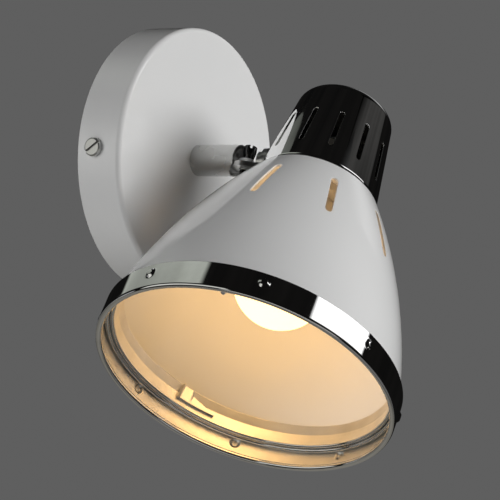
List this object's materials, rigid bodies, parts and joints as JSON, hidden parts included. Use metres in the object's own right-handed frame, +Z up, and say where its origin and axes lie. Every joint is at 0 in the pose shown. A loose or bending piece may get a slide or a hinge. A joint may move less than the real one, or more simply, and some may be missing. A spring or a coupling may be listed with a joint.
{
  "type": "wall spotlight",
  "caption": "Wall spotlight: a round white canopy with a short stem and hinge carries a bell-shaped shade with a slotted chrome cap and rim, which swings and turns.",
  "frame": {"origin": "centre of the canopy's back face, on the wall, midway between the two wall slots", "axes": "-Y points away from the wall, +Z is up, +X is to the right for someone who faces the wall"},
  "size_m": [0.1902, 0.1729, 0.2114],
  "materials": {
    "white_enamel": "gloss white enamel",
    "chrome_plate": "polished chrome",
    "bright_steel": "zinc plated",
    "dark_steel": "blackened",
    "brass": "drawn",
    "holder_plastic": "moulded, off-white",
    "lead_plastic": "smooth sleeve",
    "opal_glass": "frosted, lit",
    "dark_glass": "fused black",
    "lamp_cap_metal": "rolled thread"
  },
  "bodies": {
    "base": {"canopy": "white_enamel", "wall_bracket": "bright_steel", "canopy_screws": "bright_steel", "earth_screw": "bright_steel", "terminal_block": "holder_plastic", "terminal_inserts": "brass", "terminal_screws": "bright_steel", "block_screw": "bright_steel", "stem_tube": "white_enamel", "stem_stud": "bright_steel", "stem_washer": "bright_steel", "stem_nut": "bright_steel", "stem_leads": "lead_plastic", "hinge_plug": "white_enamel", "hinge_screw": "dark_steel", "hinge_washers": "bright_steel", "hinge_nut": "dark_steel"},
    "arm": {"hinge_arm": "bright_steel", "arm_washer": "bright_steel", "arm_nut": "bright_steel"},
    "head": {"outer_saddle": "bright_steel", "inner_saddle": "bright_steel", "cap": "chrome_plate", "holder_strap": "bright_steel", "holder_stud": "bright_steel", "holder_nut": "bright_steel", "lampholder": "holder_plastic", "socket_shell": "brass", "socket_contact": "brass", "shade_ring_nut": "holder_plastic", "shade": "white_enamel", "trim_ring": "chrome_plate", "inner_ring": "chrome_plate", "bulb_glass": "opal_glass", "bulb_cap": "lamp_cap_metal", "bulb_insulator": "dark_glass", "bulb_contact": "lamp_cap_metal", "head_leads": "lead_plastic"}
  },
  "joints": [
    {"name": "arm_swing", "type": "hinge", "parent": "base", "child": "arm", "pos_m": [0, -0.0535, 0], "axis": [0.2554, 0, 0.9668], "range_deg": [-19.7, 40.3]},
    {"name": "head_turn", "type": "hinge", "parent": "arm", "child": "head", "pos_m": [0, -0.0535, 0], "axis": [-0.1961, 0.9792, 0.0518], "range_deg": [-20.9, 144.1]}
  ]
}
